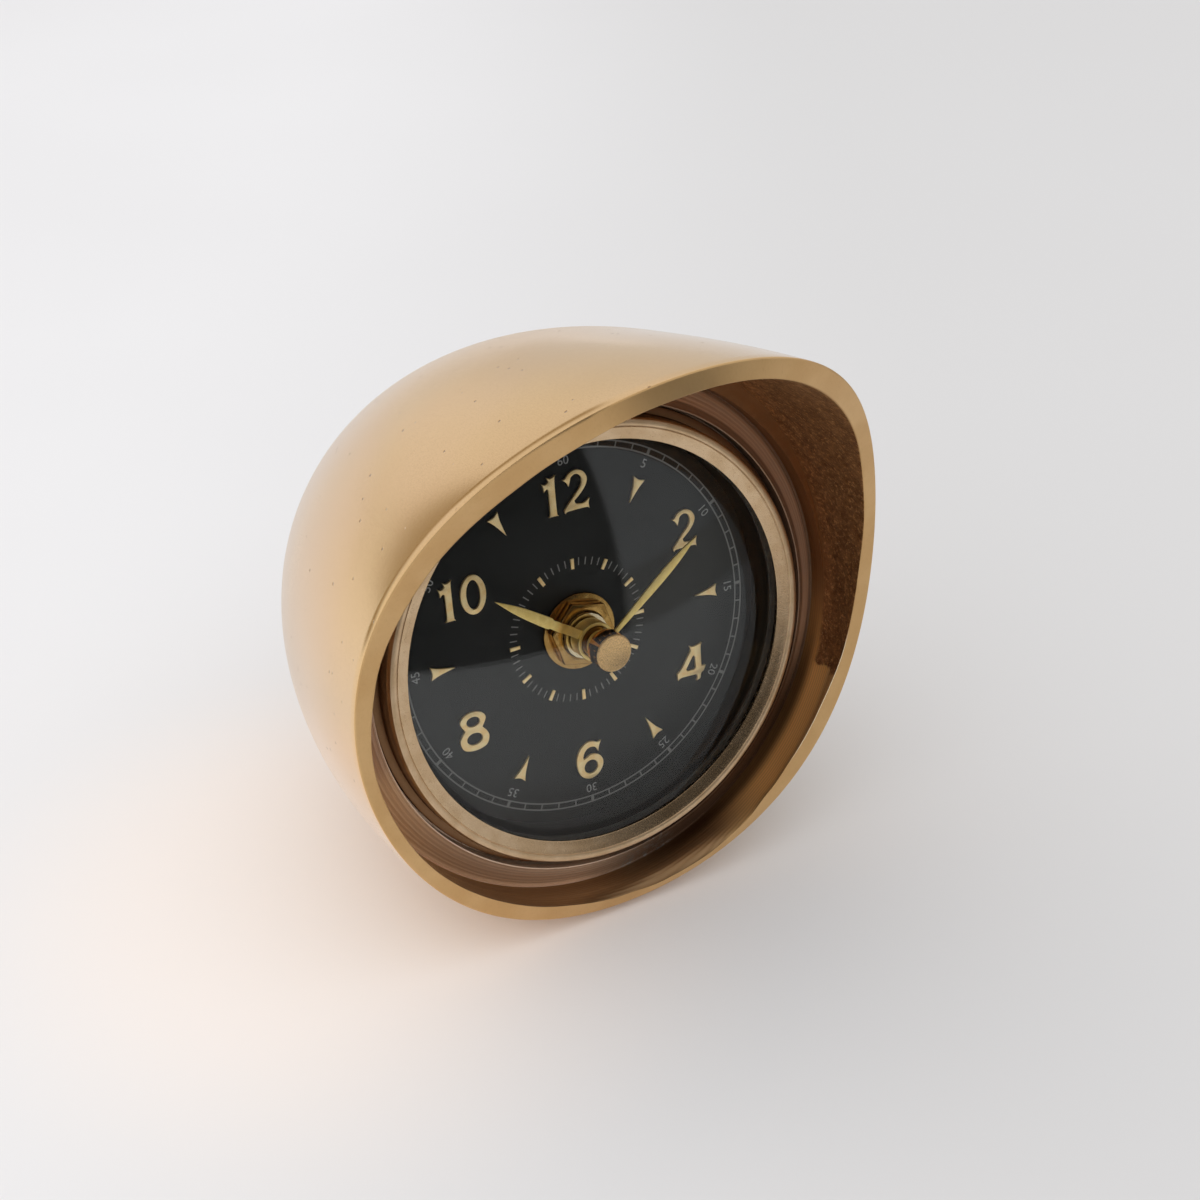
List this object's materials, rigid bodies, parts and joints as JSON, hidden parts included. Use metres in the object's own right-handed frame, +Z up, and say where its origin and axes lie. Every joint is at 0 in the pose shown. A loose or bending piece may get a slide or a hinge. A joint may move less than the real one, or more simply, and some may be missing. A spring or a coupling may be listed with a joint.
{
  "type": "desk clock",
  "caption": "Free-standing desk clock: an egg-shaped cast brass body with a deep hood over a round black dial, and a battery clock insert that pulls out of the front.",
  "frame": {"origin": "on the table, under the middle of the clock's overall box", "axes": "-Y is the front that the dial faces, +Z is up, and +X is on the 3 o'clock side of the dial"},
  "size_m": [0.0934, 0.1072, 0.1091],
  "materials": {
    "cast_brass": "satin as-cast, brushed outside, rough inside the hood",
    "turned_brass": "fine turned satin",
    "bright_brass": "bright",
    "raised_brass": "satin",
    "clear_glass": "clear, polished",
    "dial_black": "deep gloss",
    "spacer_black": "gloss",
    "seal_rubber": "matt",
    "plain_steel": "satin",
    "movement_plastic": "matt",
    "gear_plastic": "matt",
    "coil_winding": "enamelled wire",
    "board_green": "matt",
    "battery_jacket": "satin"
  },
  "bodies": {
    "body": {"body_shell": "cast_brass"},
    "clock_insert": {"bezel_ring": "turned_brass", "glass_lens": "clear_glass", "lens_gasket": "seal_rubber", "dial_spacer": "spacer_black", "dial_plate": "dial_black", "dial_retainer": "plain_steel", "grip_ring": "seal_rubber", "numeral_2": "raised_brass", "numeral_4": "raised_brass", "numeral_6": "raised_brass", "numeral_8": "raised_brass", "numeral_10_ten": "raised_brass", "numeral_10_unit": "raised_brass", "numeral_12_ten": "raised_brass", "numeral_12_unit": "raised_brass", "marker_1": "raised_brass", "marker_3": "raised_brass", "marker_5": "raised_brass", "marker_7": "raised_brass", "marker_9": "raised_brass", "marker_11": "raised_brass", "dial_washer": "bright_brass", "hex_nut": "bright_brass", "rubber_washer": "seal_rubber", "movement_case": "movement_plastic", "middle_plate": "gear_plastic", "rear_cover": "movement_plastic", "stator": "plain_steel", "coil": "coil_winding", "circuit_board": "board_green", "timing_crystal": "plain_steel", "contact_plus": "plain_steel", "contact_minus": "plain_steel"},
    "battery": {"battery": "battery_jacket"},
    "minute_works": {"minute_arbor": "bright_brass", "minute_hand": "bright_brass", "cap_nut": "bright_brass"},
    "hour_works": {"hour_wheel": "gear_plastic", "hour_hand": "bright_brass"},
    "setting_works": {"minute_wheel": "gear_plastic", "setting_knob": "gear_plastic"},
    "centre_wheel_body": {"centre_wheel": "gear_plastic"},
    "third_wheel_body": {"third_wheel": "gear_plastic"},
    "seconds_wheel_body": {"seconds_wheel": "gear_plastic"},
    "rotor_body": {"rotor": "plain_steel"}
  },
  "joints": [
    {"name": "insert_pull_out", "type": "slide", "parent": "body", "child": "clock_insert", "axis": [0, -0.9882, 0.153], "range_m": [0, 0.028]},
    {"name": "battery_slide_out", "type": "slide", "parent": "clock_insert", "child": "battery", "axis": [0, 0.9882, -0.153], "range_m": [0, 0.015]},
    {"name": "minute_hand_turn", "type": "hinge", "parent": "clock_insert", "child": "minute_works", "pos_m": [0, -0.00825, 0.04677], "axis": [0, -0.9882, 0.153], "continuous": true},
    {"name": "hour_hand_turn", "type": "hinge", "parent": "clock_insert", "child": "hour_works", "pos_m": [0, -0.00968, 0.047], "axis": [0, -0.9882, 0.153], "continuous": true},
    {"name": "setting_knob_turn", "type": "hinge", "parent": "clock_insert", "child": "setting_works", "pos_m": [0.006, -0.00666, 0.05704], "axis": [0, -0.9882, 0.153], "continuous": true},
    {"name": "rotor_turn", "type": "hinge", "parent": "clock_insert", "child": "rotor_body", "pos_m": [0.00958, -0.00048, 0.04204], "axis": [0, -0.9882, 0.153], "continuous": true},
    {"name": "seconds_wheel_turn", "type": "hinge", "parent": "clock_insert", "child": "seconds_wheel_body", "pos_m": [0, -0.00271, 0.04592], "axis": [0, -0.9882, 0.153], "continuous": true},
    {"name": "third_wheel_turn", "type": "hinge", "parent": "clock_insert", "child": "third_wheel_body", "pos_m": [-0.00935, -0.00327, 0.05147], "axis": [0, -0.9882, 0.153], "continuous": true},
    {"name": "centre_wheel_turn", "type": "hinge", "parent": "clock_insert", "child": "centre_wheel_body", "pos_m": [0, -0.00558, 0.04636], "axis": [0, -0.9882, 0.153], "continuous": true}
  ],
  "couplings": [
    {"joint": "hour_hand_turn", "follows": "minute_hand_turn", "ratio": 0.083333},
    {"joint": "setting_knob_turn", "follows": "minute_hand_turn", "ratio": -0.33333},
    {"joint": "seconds_wheel_turn", "follows": "rotor_turn", "ratio": -0.13333},
    {"joint": "third_wheel_turn", "follows": "rotor_turn", "ratio": 0.017778},
    {"joint": "centre_wheel_turn", "follows": "rotor_turn", "ratio": -0.0022222}
  ]
}
